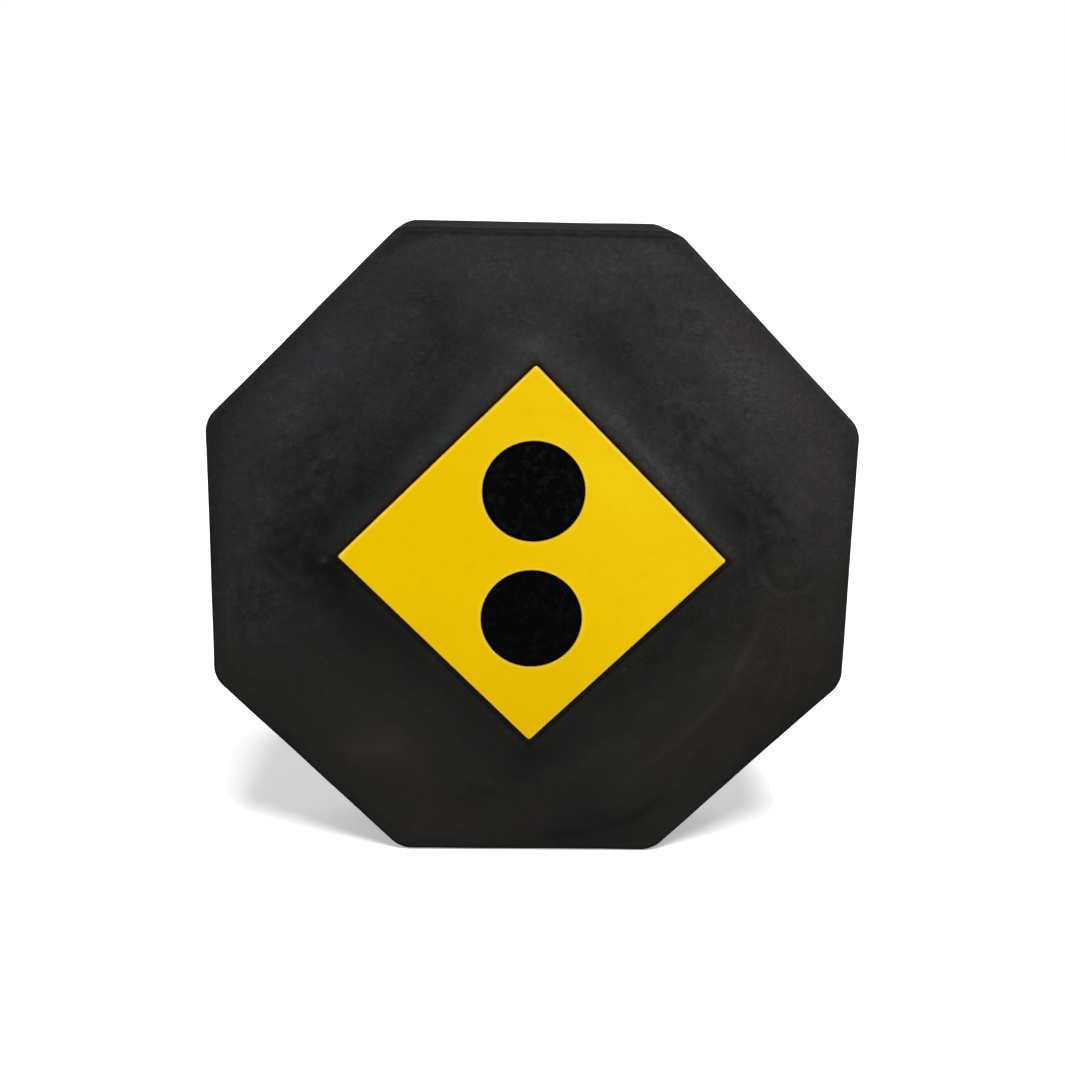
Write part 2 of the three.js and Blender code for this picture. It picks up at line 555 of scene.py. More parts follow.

# Marks on the front in millimetres from the core's centre: across, up, half length, half width, turn in
# degrees, and strength. The strength of soft marks, scuffs and blots is in stops of brightness.
# The soft marks are partly the skin's own mottling and partly painted light and shade beside the lip: lighter
# and darker bands along the pocket's sides, and painted shade at the core's left and right corners
softMarks = (
    (195, 170, 150, 55, -45, 0.35),
    (110, 275, 90, 26, -5, 0.25),
    (-205, 165, 130, 48, 45, 0.50),
    (-150, -185, 80, 30, 8, 0.30),
    (172, -132, 110, 26, 57, 0.20),
    (250, 60, 80, 50, 80, 0.40),
    (-262, -40, 110, 45, 90, 0.25),
    (-205, 2, 75, 62, 0, -0.95),
    (212, 22, 60, 36, 90, -0.45),
    (-140, 85, 110, 34, 45, -0.40),
    (70, 200, 60, 34, -45, -0.30),
    (-82, 230, 60, 34, 70, -0.25),
    (0, -215, 110, 44, 0, -0.50),
    (60, -278, 110, 28, 4, -0.70),
    (-115, -100, 120, 40, -45, -0.25),
    (110, -95, 110, 34, 45, -0.20),
    (245, -165, 100, 34, 45, -0.30),
    (-230, -170, 110, 30, -45, -0.20),
    (-126, -126, 170, 48, -45, -0.42),
    (120, -120, 150, 34, 45, -0.30),
    (-113, 113, 150, 20, 45, -0.25),
    (-137, 137, 120, 25, 45, 0.20),
    (102, 102, 130, 8, -45, 0.35),
    (-178, -58, 62, 50, -50, -0.50),
    (-160, 52, 62, 34, 45, -0.50),
    (176, 38, 50, 28, -60, -0.50),
    (30, -188, 60, 30, 10, -0.40),
    (45, -250, 100, 28, 3, -0.40),
    (208, -78, 62, 15, 66, 0.22),
    (150, -172, 80, 13, 47, 0.16),
    (-170, -50, 76, 34, -50, -0.36),
    (-172, 44, 44, 30, 45, -0.30),
    (178, 30, 44, 22, -60, -0.30),
    (-60, -180, 50, 26, -30, -0.28),
    (76, -172, 50, 26, 30, -0.26),
    (-55, -246, 50, 22, 5, -0.28),
    (120, -248, 46, 24, 25, -0.26),
    (-112, -284, 60, 20, 0, 0.26),
    (162, 112, 60, 20, -50, 0.30),
    (165, 226, 60, 34, -45, 0.20),
    (-248, 34, 50, 18, 80, 0.26),
    (172, -66, 40, 22, 45, -0.24),
    (-110, -258, 70, 35, 0, 0.25),
    (205, -60, 42, 34, 80, -0.40),
    (-225, -50, 50, 40, 0, -0.25),
    (-262, 65, 80, 42, 90, 0.35),
    (130, 150, 100, 44, -45, 0.25),
    (168, 176, 110, 36, -45, 0.30),
    (-140, 70, 34, 26, 45, -0.45),
    (10, 282, 120, 18, 0, -0.32),
    (-108, 245, 34, 22, 40, -0.28),
    (-100, 112, 50, 22, 45, -0.22),
    (-178, -30, 30, 26, 0, -0.30),
    (178, -72, 30, 24, 0, -0.30),
    (140, 70, 28, 22, -45, -0.30),
    (210, -142, 28, 22, 50, -0.28),
    (142, -246, 30, 24, 30, -0.30),
    (40, -232, 100, 26, 0, -0.16),
    (-228, 112, 40, 28, 60, 0.22),
    (72, 178, 28, 20, -45, 0.20),
    (-190, 12, 28, 16, 60, -0.34),
    (188, 22, 32, 20, -60, -0.28),
    (192, -38, 36, 14, 10, -0.26),
    (262, 30, 28, 20, 80, -0.30),
    (230, -98, 40, 16, 80, -0.22),
    (163, -95, 28, 20, 90, -0.22),
    (163, -222, 40, 16, 50, -0.26),
    (52, -166, 24, 20, 0, -0.26),
    (-28, -190, 38, 16, -10, -0.24),
    (-50, -256, 38, 22, 0, -0.30),
    (82, -264, 54, 16, 5, -0.26),
    (-170, -92, 80, 44, 0, -0.18),
    (28, -222, 58, 20, 0, 0.20),
    (-138, -205, 70, 40, -10, 0.20),
    (200, 100, 38, 28, 0, 0.28),
    (224, 30, 20, 15, 0, 0.34),
    (102, -96, 38, 16, 45, 0.32),
    (-134, 56, 24, 18, 50, 0.40),
    (-232, 36, 28, 16, 20, 0.30),
    (-178, 90, 34, 13, 20, 0.30),
    (-112, 204, 32, 20, 0, 0.24),
    (-94, 236, 24, 22, 0, -0.30),
    (-218, 166, 40, 24, 60, 0.20),
    (-270, -58, 52, 18, 90, -0.22),
)
# Light worn scuffs, and beside some of them dark lines that are painted shade of the creases
scuffsAndCreaseShade = (
    (214, -72, 30, 5.0, 68, 0.20),
    (199, -105, 30, 4.6, 65, 0.26),
    (183, -136, 30, 4.4, 58, 0.30),
    (161, -163, 34, 4.4, 48, 0.30),
    (130, -193, 40, 4.8, 40, 0.24),
    (100, -219, 32, 5.0, 45, 0.16),
    (184, -152, 60, 7.0, 52, -0.14),
    (248, -118, 34, 2.8, 88, 0.30),
    (243, -112, 16, 2.6, 80, -0.30),
    (244, -76, 42, 3.0, 90, 0.18),
    (233, -128, 30, 3.2, 64, 0.20),
    (266, -116, 34, 10, 4, -0.26),
    (166, -196, 34, 3.4, 39, -0.30),
    (160, -190, 34, 3.0, 39, 0.20),
    (117, -251, 28, 6.5, 41, -0.50),
    (89.7, -108, 3.8, 3.4, 0, 1.6),
    (-257, 11, 50, 9.0, 33, 0.42),
    (-283, -50, 52, 5.4, 88, 0.24),
    (-272, -35, 32, 5.0, 88, -0.32),
    (-148, -192, 36, 8.0, 8, 0.26),
    (-190, 120, 60, 2.4, 28, 0.14),
    (-120, 215, 46, 2.2, 40, 0.12),
    (140, 235, 55, 2.4, -32, 0.14),
    (230, 120, 40, 2.2, -60, 0.14),
    (-60, -245, 60, 2.4, 12, 0.10),
    (253, -32, 20, 3.0, 8, 0.26),
)
blots = (
    (191, 42, 17, 7.5, -62, -0.75),
    (198, -14, 27, 6.0, -78, -0.55),
    (215, 8, 15, 8.0, 68, -1.05),
    (244, 18, 5.5, 5.0, 0, -0.7),
    (218, 28, 6.5, 5.0, 30, 0.6),
    (238, -11, 15, 9.0, 30, 0.28),
    (-193, -4, 8, 7.5, 0, 2.4),
    (-196, -8, 30, 20, -25, -0.7),
    (-203, -10, 17, 10, 40, -0.7),
    (-184, -18, 20, 12, -50, -0.8),
    (-228, -10, 17, 7.0, -32, -0.6),
    (-268, -70, 17, 8.0, 80, -0.35),
    (-203, 110, 14, 6.0, 15, -0.5),
    (-183, 121, 24, 5.0, 28, -0.4),
    (-112, 146, 12, 6.0, 60, -0.45),
    (-189, -47, 14, 8.0, 20, -0.4),
    (-44, -235, 32, 7.0, -18, -0.4),
    (-15, -222, 24, 9.0, 0, -0.3),
    (42, -280, 34, 10, 4, -0.75),
    (98, -264, 46, 9.0, 22, -0.45),
    (0, -192, 18, 11, 0, -0.45),
    (176, 96, 36, 5.0, -48, -0.35),
    (120, 262, 26, 9.0, -15, -0.3),
)

# Where the skin is dabbed with dark spots, and where it is tinted
dabMarks = (
    (-190, 70, 120, 62, 45, 1.0),
    (-215, -10, 80, 62, 0, 1.0),
    (-262, -55, 70, 34, 88, 0.8),
    (150, 120, 120, 46, -45, 0.8),
    (212, 30, 60, 50, 90, 0.9),
    (0, -222, 110, 30, 0, 0.5),
    (-95, 190, 70, 50, 60, 0.6),
    (110, 230, 110, 60, -20, 0.5),
    (120, -90, 110, 30, 45, 0.6),
)
rosyMarks = (
    (238, -92, 62, 56, 90, 2.2),
    (215, -145, 90, 46, 45, 2.2),
    (160, -190, 66, 34, 20, 1.8),
    (-140, -195, 60, 30, 0, 1.8),
    (-116, -228, 52, 30, -10, 1.8),
    (-82, -268, 54, 28, 10, 1.6),
    (8, -266, 26, 26, 0, 1.6),
)
mauveMarks = (
    (186, 215, 62, 50, -45, 1.6),
    (245, 150, 80, 44, -60, 1.8),
    (266, 60, 100, 44, 90, 1.8),
    (195, -22, 36, 24, 80, 1.4),
    (-272, 20, 96, 40, 90, 1.6),
    (-262, -46, 46, 34, 70, 1.4),
    (-158, -58, 32, 26, 0, 1.4),
    (56, -276, 46, 20, 0, 1.4),
)
blueMarks = (
    (-175, 235, 110, 34, 45, 1.5),
    (-205, 180, 50, 36, 0, 1.4),
    (-98, 200, 120, 22, 85, 1.5),
    (-75, 148, 70, 24, 50, 1.3),
    (-100, 280, 60, 22, 0, 1.4),
    (140, 225, 60, 22, 80, 1.3),
    (165, 170, 40, 22, 0, 1.2),
    (82, 178, 36, 18, 0, 1.2),
)


# Distance outside the pocket's edge
def fromPocket(across, up, look):
    first = abs(across + up) * rootHalf - look["pocketHalf"]
    second = abs(across - up) * rootHalf - look["pocketHalf"]
    if first > 0 and second > 0:
        return math.hypot(first, second)
    return max(first, second)


# Apothem of the softened octagon through a point, which keeps the crown free of creases at the corners
def softReach(across, up, power):
    sides = (abs(across), abs(up), abs(across + up) * rootHalf, abs(across - up) * rootHalf)
    return sum(side ** power for side in sides) ** (1 / power)


# The block's outside, drawn out from its front to its back; gives back its first and its last ring
def makeOutside(bm, look):
    plateau = frontY + look["lipHeight"]
    innermost = halfWidth - look["frontRim"]
    ring = makeRing(bm, 8, innermost, look["outlineRadius"], plateau, look["flatSteps"])
    front = rounding(look["frontRim"], look["frontRimSteps"])
    rear = rounding(look["backRim"], look["backRimSteps"])
    frontRim = [(halfWidth - inset, plateau + below) for inset, below in reversed(front[:-1])]
    backRim = [(halfWidth - inset, backY - below) for inset, below in rear]
    side = evenly(frontRim[-1], backRim[0], look["sideRows"])
    return ring, drawOut(bm, ring, innermost, frontRim + side + backRim[1:])


# The pocket's wall, made and given back in the same way
def makePocket(bm, look):
    half = look["pocketHalf"]
    radius = look["mouthRadius"]
    deep = backY - frontY
    ring = makeRing(bm, 4, half + radius, look["pocketRadius"] + radius, frontY, look["pocketFlatSteps"])
    mouth = rounding(radius, look["mouthSteps"])
    frontMouth = [(half + out - below * taper, frontY + below) for out, below in reversed(mouth[:-1])]
    backMouth = [(half + out - (deep - below) * taper, backY - below) for out, below in mouth]
    wall = evenly(frontMouth[-1], backMouth[0], look["wallRows"])
    return ring, drawOut(bm, ring, half + radius, frontMouth + wall + backMouth[1:])


# The front falls away along the outline, and rises to the crest of the lip round the pocket
def shapeFront(bm, look):
    plateau = frontY + look["lipHeight"]
    for vert in bm.verts:
        across, up = vert.co.x, vert.co.z - middle
        away = fromPocket(across, up, look)
        if vert.co.y < plateau + tiny and away > look["mouthRadius"] - tiny:
            left = 1 - shareOf(away, look["crestWidth"], look["lipWidth"])
            climb = left ** 2 * (2 - left)
            dip = (1 - math.cos(2 * math.pi * shareOf(away, look["hollowFrom"], look["hollowTo"]))) / 2
            vert.co.y = plateau - look["lipHeight"] * climb + look["hollowDepth"] * dip
        if away > look["lipWidth"]:
            inset = halfWidth - softReach(across, up, look["crownPower"])
            fall = 1 - shareOf(inset, look["frontRim"], look["crownWidth"])
            fade = (backY - vert.co.y) / (backY - plateau)
            vert.co.y += look["crownDrop"] * fall ** 2 * fade


# The cast skin is a little uneven, except at the pocket, which the core has to fit
def sinkWaves(bm, look):
    def awayOf(place):
        return fromPocket(place.x, place.z - middle, look)

    def depthOf(place):
        return waveDepth(place, look["waves"]) * shareOf(awayOf(place), look["wavesFrom"], look["wavesFull"])

    bmesh.ops.recalc_face_normals(bm, faces=bm.faces)
    sink(bm, [vert for vert in bm.verts if awayOf(vert.co) > look["wavesFrom"]], depthOf)


def makeBlock(look, material):
    bm = bmesh.new()
    outerFront, outerBack = makeOutside(bm, look)
    innerFront, innerBack = makePocket(bm, look)
    joinRings(bm, outerFront, innerFront, look["frontRows"])
    joinRings(bm, outerBack, innerBack, look["backRows"])
    shapeFront(bm, look)
    sinkWaves(bm, look)
    finishPiece(bm, "foam_block", "block", "block_foam", material, "body_block")


# The block's skin, whose features share the place of a point and the noises
class Skin(Finish):
    def __init__(self, tree, look):
        super().__init__(tree)
        self.look = look
        self.place = self.objectPlace()
        self.across, self.depth, tall = self.parts(self.place)
        self.up = tall - middle
        self.onFront = self.rise(self.depth, frontY + look["frontEnds"], frontY + look["frontFull"])
        self.loose = self.swayed(self.place, *look["sways"]["loose"])
        self.slight = self.swayed(self.place, *look["sways"]["slight"])
        self.torn = self.swayed(self.place, *look["sways"]["torn"])
        self.clouds = self.layer(self.place, look, "clouds")
        self.mottle = self.layer(self.place, look, "mottle")
        self.patches = self.layer(self.place, look, "patches")
        self.grain = self.layer(self.place, look, "grain")
        self.rough = 0.3 + self.rise(self.up + self.clouds * 0.15, -0.17, -0.02) * 0.7  # smoother low down

        # Distances in from the outline and out from the pocket, and painted shade in the groove below the
        # core
        slant = self.slant(self.across, self.up)
        reach = self.maths("MAXIMUM", self.maths("ABSOLUTE", self.across), self.maths("ABSOLUTE", self.up))
        self.inset = halfWidth - self.maths("MAXIMUM", reach, slant)
        self.away = slant - look["pocketHalf"]
        lower = self.rise(self.up, 0.008, -0.008)
        self.grooveShade = self.rise(self.away, 0.0054, 0.0018) * lower * self.onFront

        self.scuffedAndCreaseShade = self.marks(self.slight, scuffsAndCreaseShade)
        self.dabs = self.darkDabs()
        self.pressed = self.pressedMark()

    # Dark dabs, drawn out along the nearer sides of the pocket
    def darkDabs(self):
        rising = self.layer(self.drawn(self.torn, 45, 1.5), self.look, "dabs")
        falling = self.layer(self.drawn(self.torn, -45, 1.5), self.look, "dabs")
        dabs = rising + (falling - rising) * self.rise(self.across * self.up, -0.002, 0.002)
        zone = self.marks(self.loose, dabMarks)
        return (self.rise(dabs, -0.04, 0.12) - self.rise(dabs, -0.05, -0.17) * 0.4) * zone

    # The mark of a round object that was pressed against the skin, deepest at its lower left
    def pressedMark(self):
        look = self.look
        point = self.inFace(self.swayed(self.place, *look["sways"]["pressed"]))
        ring = self.fromMark(point, look["pressed"])
        outside = self.rise(self.maths("ABSOLUTE", ring - 1.14), 0.24, 0.0)
        inside = self.rise(self.maths("ABSOLUTE", ring - 0.86), 0.22, 0.0)
        right = self.across - look["pressed"][0] / millimetres
        above = self.up - look["pressed"][1] / millimetres
        lowerLeft = self.rise(right * 0.5 + above * 0.87, 0.008, -0.01)
        both = outside * look["stops"]["pressedOutside"] + inside * look["stops"]["pressedInside"]
        return both * lowerLeft

    # Small dark specks in some places
    def specks(self):
        return self.rise(self.cells(self.torn, 0.0042), 0.30, 0.12) * self.rise(self.mottle, -0.10, 0.14)

    # Fine ripples in some places, drawn out level
    def ripples(self):
        ripples = self.layer(self.drawn(self.torn, 0, 3.0), self.look, "ripples")
        places = self.rise(self.mottle, 0.0, 0.14)
        return (self.rise(ripples, 0.0, -0.16) - self.rise(ripples, 0.02, 0.18)) * places

    # Partly dust and partly painted light and shade by slope: lighter on slopes that face up, darker on those
    # that face down
    def dustAndSlopeShade(self):
        facing = self.parts(self.node("ShaderNodeNewGeometry", out="Normal"))[2]
        return self.maths("MINIMUM", self.maths("MAXIMUM", facing, -0.25), 0.25) * self.onFront

    # Wear of the outer rims
    def wear(self):
        places = self.rise(self.layer(self.place, self.look, "wear"), -0.05, 0.25)
        return self.rise(self.inset, 0.009, 0.001) * places

    # Brightness in stops, against the look's tone
    def brightness(self):
        stops = self.look["stops"]
        # Painted sheen: the skin is made brighter towards the upper right
        fade = self.rise(self.up * 0.75 + self.across * 0.5 + self.clouds * 0.06, -0.04, 0.24)
        broad = self.dustAndSlopeShade() * stops["dustAndSlopeShade"] + fade * stops["paintedSheenUpperRight"]
        broad = broad + self.clouds * stops["clouds"] + self.mottle * stops["mottle"]
        fine = self.patches * stops["patches"] + self.grain * stops["grain"]
        fine = fine + self.specks() * stops["specks"] + self.ripples() * stops["ripples"]
        placed = self.marks(self.loose, softMarks) + self.scuffedAndCreaseShade + self.marks(self.torn, blots)
        placed = (placed + self.pressed + self.dabs * stops["dabs"]) * self.onFront
        topRim = self.rise(self.up, halfWidth - 0.0085, halfWidth - 0.005)
        topRim = topRim * self.rise(self.depth, frontY + 0.017, frontY + 0.012)
        edges = self.wear() * stops["wear"] + self.grooveShade * stops["grooveShade"] + topRim * stops["topRim"]
        return broad + fine * self.rough + placed + edges + (1 - self.onFront) * stops["sides"]

    # Tints by height, by listed marks and by the yellow that the core has rubbed off, and then a grain
    # of hues that is stronger near the core
    def tint(self):
        look = self.look
        low = self.rise(self.up + self.across * -0.2 + self.clouds * 0.12, 0.06, -0.1)
        tint = self.mix(low, look["topTint"], look["bottomTint"])
        for table, name in ((rosyMarks, "rosyTint"), (mauveMarks, "mauveTint"), (blueMarks, "blueTint")):
            tint = self.mix(self.marks(self.loose, table) * self.onFront, tint, look[name])
        fringe = self.rise(self.away, 0.0060, 0.0020) * self.onFront
        tint = self.mix(fringe, tint, look["fringeTint"])
        hues = self.vector("MULTIPLY", self.hues(self.place, 0.0065, 2.0), (2, 2, 2))
        return self.mix(self.rise(self.away, 0.055, 0.015) * 0.25 + 0.08, tint, hues, "MULTIPLY")

    def roughness(self):
        worn = self.scuffedAndCreaseShade * self.onFront * 0.08
        return self.look["roughness"] + self.mottle * 0.16 + self.patches * 0.1 - worn + self.grooveShade * 0.15

    # Relief of the bare skin, and of the marks on the front
    def reliefs(self):
        heights = self.look["relief"]
        few = self.rise(self.layer(self.place, self.look, "pored"), -0.02, 0.2)
        pores = self.rise(self.cells(self.place, 0.0034), 0.28, 0.12) * few
        bare = self.layer(self.place, self.look, "dimples") * heights["dimples"]
        bare = bare + self.patches * heights["patches"] + self.grain * heights["grain"]
        bare = bare + pores * heights["pores"]
        marked = self.pressed * heights["pressed"] + self.scuffedAndCreaseShade * heights["scuffedAndCreaseShade"]
        return bare, (marked + self.dabs * heights["dabs"]) * self.onFront


def blockFinish(look):
    material = newMaterial("block foam")
    skin = Skin(material.node_tree, look)
    foam = skin.mix(1.0, look["tone"], skin.maths("POWER", 2.0, skin.brightness()), "MULTIPLY")
    colour = skin.mix(1.0, foam, skin.tint(), "MULTIPLY")
    bare, marked = skin.reliefs()
    satin = skin.surface(colour, skin.roughness(), look["specular"], bare * skin.rough + marked)
    matt = skin.surface(colour, 1.0, 0.0, bare)
    skin.close(skin.node("ShaderNodeMixShader", None, {0: skin.onFront, 1: matt, 2: satin}))
    return material


makeBlock(blockLook, blockFinish(blockLook))


# The core's foam, which shows when the core is drawn out, and its narrow end at the back

plugLook = {
    "half": 0.128,
    "radius": 0.003,
    "backRim": 0.003,
    "waves": ((0.06, 0.0003), (0.012, 0.0001)),
    "wavesFrom": 0.001,  # depth behind the front end, which the yellow face hides
    "flatSteps": 80,
    "rimSteps": 5,
    "flankRows": 30,
    "backRows": 30,
    "frontRows": 12,
    "darkTone": tone(17, 17, 17),
    "lightTone": tone(38, 37, 37),
    "roughness": 0.75,
    "specular": 0.06,
    "drag": (1, 0.08, 1),  # draws the drag marks out along the slide
    "noises": {
        "clouds": (0.05, 3.0, 0.55, 0.3),
        "grain": (0.0022, 2.0, 0.6),
        "rubbed": (0.004, 3.0, 0.6),
        "dimples": (0.014, 2.0),
    },
}


def makePlug(look, material):
    bm = bmesh.new()
    front = look["half"] - (plugFrontY - frontY) * taper
    rear = look["half"] - (backY - frontY) * taper
    rounded = rounding(look["backRim"], look["rimSteps"])
    rim = [(rear - inset + below * taper, backY - below) for inset, below in rounded]
    ring = makeRing(bm, 4, front, look["radius"], plugFrontY, look["flatSteps"])
    flank = evenly((front, plugFrontY), rim[0], look["flankRows"])
    last = drawOut(bm, ring, front, flank + rim[1:])
    closeEnd(bm, last, rear - look["backRim"], backY, look["backRows"])
    closeEnd(bm, ring, front, plugFrontY, look["frontRows"])
    bmesh.ops.recalc_face_normals(bm, faces=bm.faces)
    uneven = [vert for vert in bm.verts if vert.co.y > plugFrontY + look["wavesFrom"]]
    sink(bm, uneven, lambda place: waveDepth(place, look["waves"]))
    keepSharp(ring)
    finishPiece(bm, "core_foam_wedge", "core", "core_foam", material, "core_plug")


def plugFinish(look):
    material = newMaterial("core foam")
    finish = Finish(material.node_tree)
    place = finish.objectPlace()
    clouds = finish.layer(place, look, "clouds")
    grain = finish.layer(place, look, "grain")
    dragged = finish.layer(finish.vector("MULTIPLY", place, look["drag"]), look, "rubbed")
    rubbed = finish.rise(dragged, 0.02, 0.2)
    pores = finish.rise(finish.cells(place, 0.0028), 0.3, 0.12)
    level = 0.45 + clouds * 0.7 + grain * 0.3 + rubbed * 0.3 - pores * 0.2
    colour = finish.mix(finish.maths("MAXIMUM", level, 0.05), look["darkTone"], look["lightTone"])
    roughness = look["roughness"] - rubbed * 0.12 + grain * 0.1
    relief = grain * 0.08 - pores * 0.12 + finish.layer(place, look, "dimples") * 0.12
    finish.close(finish.surface(colour, roughness, look["specular"], relief))
    return material


makePlug(plugLook, plugFinish(plugLook))


# The yellow face, with a round recess for each spot

faceLook = {
    "half": 0.128,
    "radius": 0.003,
    "rim": 0.002,
    "thickness": 0.006,
    "recessRadius": 0.0473,
    "recessDepth": 0.0023,
    "flatSteps": 90,
    "middleSteps": 124,
    "rimSteps": 5,
    "frontRows": 20,
    "flankRows": 3,
    "backRows": 8,
    "yellow": tone(234, 192, 0),
    "paleYellow": tone(240, 201, 14),
    "deepYellow": tone(225, 181, 0),
    "edgeYellow": tone(240, 209, 80),
    "brown": tone(96, 66, 8),
    "roughness": 0.5,
    "specular": 0.04,
    "palePatch": (74, 76, 80, 46, -45),  # painted light at the upper right, as a mark without a strength
    "noises": {
        "clouds": (0.06, 3.0, 0.5, 0.5),
        "mottle": (0.012, 3.0, 0.6),
        "grain": (0.0018, 2.0, 0.6),
        "dimples": (0.018, 2.0),
        "pits": (0.003, 2.0),
    },
}
paleMarks = (
    (-179, 0, 9, 6, 0, 0.5),
    (179, 0, 8, 6, 0, 0.35),
)


# A line of edges across the middle, which parts the front into an upper and a lower half
def makeMiddleLine(bm, ring, steps):
    verts = [vert for edge in ring for vert in edge.verts]
    left = min(verts, key=lambda vert: vert.co.x)
    right = max(verts, key=lambda vert: vert.co.x)
    line = bm.edges.new((left, right))
    return pickEdges(bmesh.ops.subdivide_edges(bm, edges=[line], cuts=steps - 1)["geom"])


# A round recess with a band of faces to its surround; gives back the recess's front edge
def makeRecess(bm, look, surround, height):
    hole = bmesh.ops.create_circle(
        bm,
        segments=len(surround),
        radius=look["recessRadius"],
        matrix=Matrix.Translation((0, frontY, height)) @ Matrix.Rotation(math.pi / 2, 4, "X"),
    )["verts"]
    edges = list({edge for vert in hole for edge in vert.link_edges})
    joinRings(bm, surround, edges, look["frontRows"])
    wall = bmesh.ops.extrude_edge_only(bm, edges=edges)["geom"]
    bmesh.ops.translate(bm, verts=pickVerts(wall), vec=(0, look["recessDepth"], 0))
    closeRing(bm, pickEdges(wall))
    return edges


def makeFace(look, material):
    bm = bmesh.new()
    inner = look["half"] - look["rim"]
    backHalf = look["half"] - look["thickness"] * taper
    backPlane = frontY + look["thickness"]
    ring = makeRing(bm, 4, inner, look["radius"], frontY, look["flatSteps"])
    rounded = rounding(look["rim"], look["rimSteps"])
    rim = [(look["half"] - inset - below * taper, frontY + below) for inset, below in reversed(rounded[:-1])]
    flank = evenly(rim[-1], (backHalf, backPlane), look["flankRows"])
    last = drawOut(bm, ring, inner, rim + flank)
    closeEnd(bm, last, backHalf, backPlane, look["backRows"])

    line = makeMiddleLine(bm, ring, look["middleSteps"])
    upper = [edge for edge in ring if edge.verts[0].co.z + edge.verts[1].co.z > middle * 2]
    lower = [edge for edge in ring if edge not in upper]
    sharp = list(last)
    for half, height in zip((upper, lower), spotHeights):
        sharp += makeRecess(bm, look, half + line, height)
    keepSharp(sharp)
    finishPiece(bm, "yellow_core_face", "core", "yellow_face", material, "core_face")


def faceFinish(look):
    material = newMaterial("yellow coat")
    finish = Finish(material.node_tree)
    place = finish.objectPlace()
    across, depth, tall = finish.parts(place)
    point = (across, tall)
    up = tall - middle
    clouds = finish.layer(place, look, "clouds")
    mottle = finish.layer(place, look, "mottle")
    grain = finish.layer(place, look, "grain")
    # Painted light: the coat is paler towards the upper right, with a pale patch there, and deeper yellow
    # towards the bottom
    paintedLight = finish.rise(across + up * 0.8 + clouds * 0.08, -0.06, 0.14) * 0.55
    paintedLight = finish.mark(point, look["palePatch"], 0.5, paintedLight)
    paintedShade = finish.rise(up * -1.0 - across * 0.25 + clouds * 0.1, 0.03, 0.16)
    coat = finish.mix(paintedLight, look["yellow"], look["paleYellow"])
    coat = finish.mix(paintedShade * 0.85, coat, look["deepYellow"])
    coat = finish.mix(finish.rise(mottle, 0.0, 0.3) * 0.35, coat, look["deepYellow"])

    # Paler along its outline and round the recesses; darker brown right at the outline and round the
    # recesses, partly dirt and partly painted shade in the gap beside the block and at the spots' edges
    slant = finish.slant(across, up)
    fromRecess = 1.0
    for distance in finish.fromSpots(point, look["recessRadius"]):
        fromRecess = finish.maths("MINIMUM", fromRecess, finish.maths("ABSOLUTE", distance - 1.0))
    pale = finish.rise(slant, look["half"] - 0.0038, look["half"] - 0.0014) * 0.6
    pale = pale + finish.rise(fromRecess, 0.09, 0.015) * 0.4
    pale = finish.marks(place, paleMarks) + pale
    coat = finish.mix(pale, coat, look["edgeYellow"])
    brownedAndShaded = finish.rise(slant + mottle * 0.001, look["half"] - 0.0019, look["half"] + 0.0002)
    brownedAndShaded = brownedAndShaded * (finish.rise(depth, frontY + 0.0035, frontY + 0.002) * 0.65 + 0.35)
    brownedAndShaded = brownedAndShaded + finish.rise(fromRecess, 0.018, 0.004) * 0.6
    coat = finish.mix(brownedAndShaded, coat, look["brown"])
    roughness = look["roughness"] + mottle * 0.14 + grain * 0.06
    relief = finish.layer(place, look, "dimples") * 0.07 + finish.layer(place, look, "pits") * 0.012
    finish.close(finish.surface(coat, roughness, look["specular"], relief))
    return material


makeFace(faceLook, faceFinish(faceLook))


# The aiming spots

spotLook = {
    "radius": 0.047,
    "rim": 0.0004,
    "thickness": 0.002,
    "rimSteps": 4,
    "rings": 44,
    "turnSteps": 288,
    "grainDepth": 0.00014,
    "grainSize": 0.0028,
    "grainSeed": 8.1,
    "black": tone(2, 2, 2),
    "tone": tone(3.6, 4.8, 4.0),
    "fleck": tone(15.6, 18, 17.4),
    "lowerTint": (0.9, 0.78, 0.78, 1),
    "edgeBlack": tone(2, 0, 0),
    "roughness": 0.88,
    "specular": 0.02,
    "noises": {
        "clouds": (0.022, 3.0, 0.6),
        "blotches": (0.0055, 3.0, 0.6, 0.4),
        "grain": (0.0022, 3.0, 0.7),
    },
}


def makeSpot(look, material, name, node, height):
    bm = bmesh.new()
    back = frontY + look["thickness"]
    rounded = rounding(look["rim"], look["rimSteps"])
    rim = [(look["radius"] - inset, frontY + below) for inset, below in rounded]
    outline = [(0, back), (look["radius"], back)] + rim + evenly(rim[-1], (0, frontY), look["rings"])
    verts = [bm.verts.new((across, depth, height)) for across, depth in outline]
    edges = [bm.edges.new(pair) for pair in zip(verts, verts[1:])]
    bmesh.ops.spin(
        bm,
        geom=verts + edges,
        cent=(0, 0, height),
        axis=(0, 1, 0),
        angle=2 * math.pi,
        steps=look["turnSteps"],
        use_merge=True,
    )
    mend(bm)
    front = [vert for vert in bm.verts if vert.co.y < frontY + look["rim"] / 2]
    sink(bm, front, lambda place: look["grainDepth"] * lump(place, look["grainSize"], look["grainSeed"]))
    finishPiece(bm, name, "core", "aiming_spot", material, node)


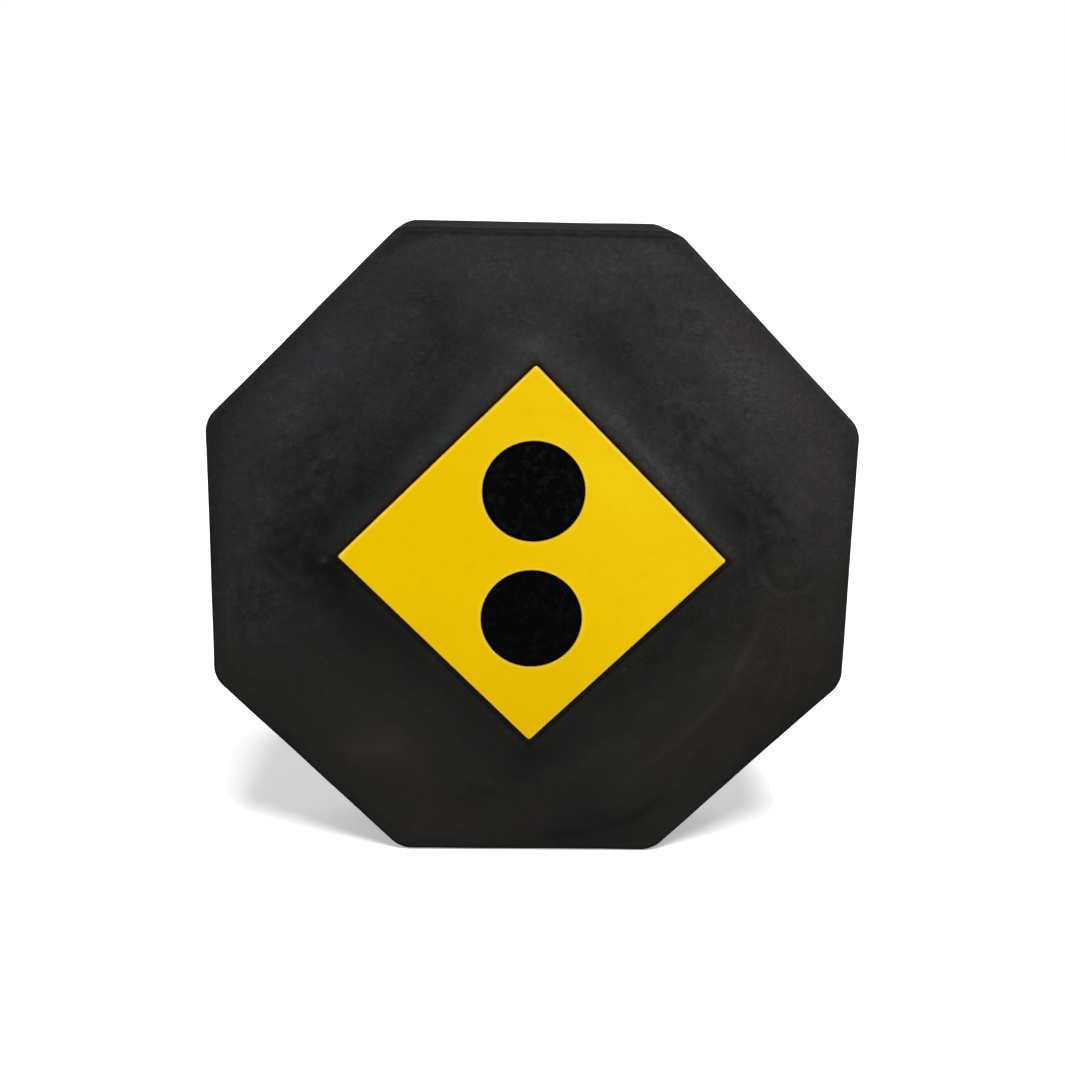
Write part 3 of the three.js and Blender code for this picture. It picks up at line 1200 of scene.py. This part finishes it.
def spotFinish(look):
    material = newMaterial("spot black")
    finish = Finish(material.node_tree)
    place = finish.objectPlace()
    point = finish.inFace(place)
    clouds = finish.layer(place, look, "clouds")
    blotches = finish.layer(place, look, "blotches")
    grain = finish.layer(place, look, "grain")
    lower = finish.rise(point[1], middle + 0.01, middle - 0.01)
    stippled = finish.rise(clouds, -0.12, 0.08) * (1 - lower * 0.35)  # some areas are smooth
    hues = finish.vector("MULTIPLY_ADD", finish.hues(place, 0.0075, 3.0), (3.0, 3.0, 3.0), (-0.5, -0.5, -0.5))
    tint = finish.mix(stippled * 0.9, (1, 1, 1, 1), finish.vector("MAXIMUM", hues, (0.1, 0.1, 0.1)))
    colour = finish.mix(finish.rise(blotches, -0.06, 0.15) * stippled, look["tone"], look["fleck"])
    colour = finish.mix(finish.rise(grain, 0.02, -0.14) * 0.6, colour, look["black"])
    colour = finish.mix(1.0, colour, tint, "MULTIPLY")
    colour = finish.mix(lower, colour, finish.mix(1.0, colour, look["lowerTint"], "MULTIPLY"))
    edge = 0.0
    for distance in finish.fromSpots(point, look["radius"]):
        edge = finish.rise(distance, 0.9, 0.97) * finish.rise(distance, 1.1, 1.05) + edge
    colour = finish.mix(edge, colour, look["edgeBlack"])
    roughness = look["roughness"] + grain * 0.1
    finish.close(finish.surface(colour, roughness, look["specular"], grain * 0.16 + blotches * 0.14))
    return material


spotMaterial = spotFinish(spotLook)
makeSpot(spotLook, spotMaterial, "upper_spot", "upper_aiming_spot", spotHeights[0])
makeSpot(spotLook, spotMaterial, "lower_spot", "lower_aiming_spot", spotHeights[1])


# Floor, world and lamps

stageLook = {
    "floorHalf": 40.0,
    "floorTone": 0.15,  # the floor as it lights the object
    "floorGlow": 0.35,  # the share of the floor that is plain white to the camera
    "worldLight": 0.2,
    "lamps": (  # name, strength, and azimuth, elevation and softness in degrees
        ("key", 5.0, 14, 62, 24),
        ("fill", 0.25, -55, 35, 40),
        ("back", 1.6, -150, 15, 40),
        ("back", 1.6, 150, 15, 40),
    ),
}


# 1 for rays that see a surface directly, in a mirror or through glass
def seenDirectly(finish):
    path = finish.node("ShaderNodeLightPath").socket.node.outputs
    camera = Wire(finish, path["Is Camera Ray"])
    glossy = Wire(finish, path["Is Glossy Ray"])
    through = Wire(finish, path["Is Transmission Ray"])
    return finish.maths("MAXIMUM", finish.maths("MAXIMUM", camera, glossy), through)


def makeFloor(look):
    material = newMaterial("floor white")
    finish = Finish(material.node_tree)
    seen = seenDirectly(finish)
    grey = look["floorTone"]
    paint = finish.mix(seen, (grey, grey, grey, 1), (1, 1, 1, 1))
    matt = finish.node("ShaderNodeBsdfDiffuse", None, {"Color": paint})
    white = finish.node("ShaderNodeEmission", None, {"Color": (1, 1, 1, 1), "Strength": 1.0})
    finish.close(finish.node("ShaderNodeMixShader", None, {0: seen * look["floorGlow"], 1: matt, 2: white}))
    bm = bmesh.new()
    bmesh.ops.create_grid(bm, x_segments=4, y_segments=4, size=look["floorHalf"])
    floor = addMesh(bm, "floor", material)


def makeWorld(look):
    world = bpy.data.worlds.new("studio")
    bpy.context.scene.world = world
    world.use_nodes = True
    finish = Finish(world.node_tree)
    strength = seenDirectly(finish) * (1 - look["worldLight"]) + look["worldLight"]
    background = finish.node("ShaderNodeBackground", None, {"Color": (1, 1, 1, 1), "Strength": strength})
    finish.close(background, output="ShaderNodeOutputWorld")


def makeSun(name, strength, azimuth, elevation, softness):
    data = bpy.data.lights.new(name, "SUN")
    data.energy = strength
    data.angle = math.radians(softness)
    sun = addObject(name, data)
    sun.rotation_euler = directionTo(azimuth, elevation).to_track_quat("Z", "Y").to_euler()


makeFloor(stageLook)
makeWorld(stageLook)
for lamp in stageLook["lamps"]:
    makeSun(*lamp)
bpy.context.scene.view_settings.view_transform = "Standard"
print("stage ready")
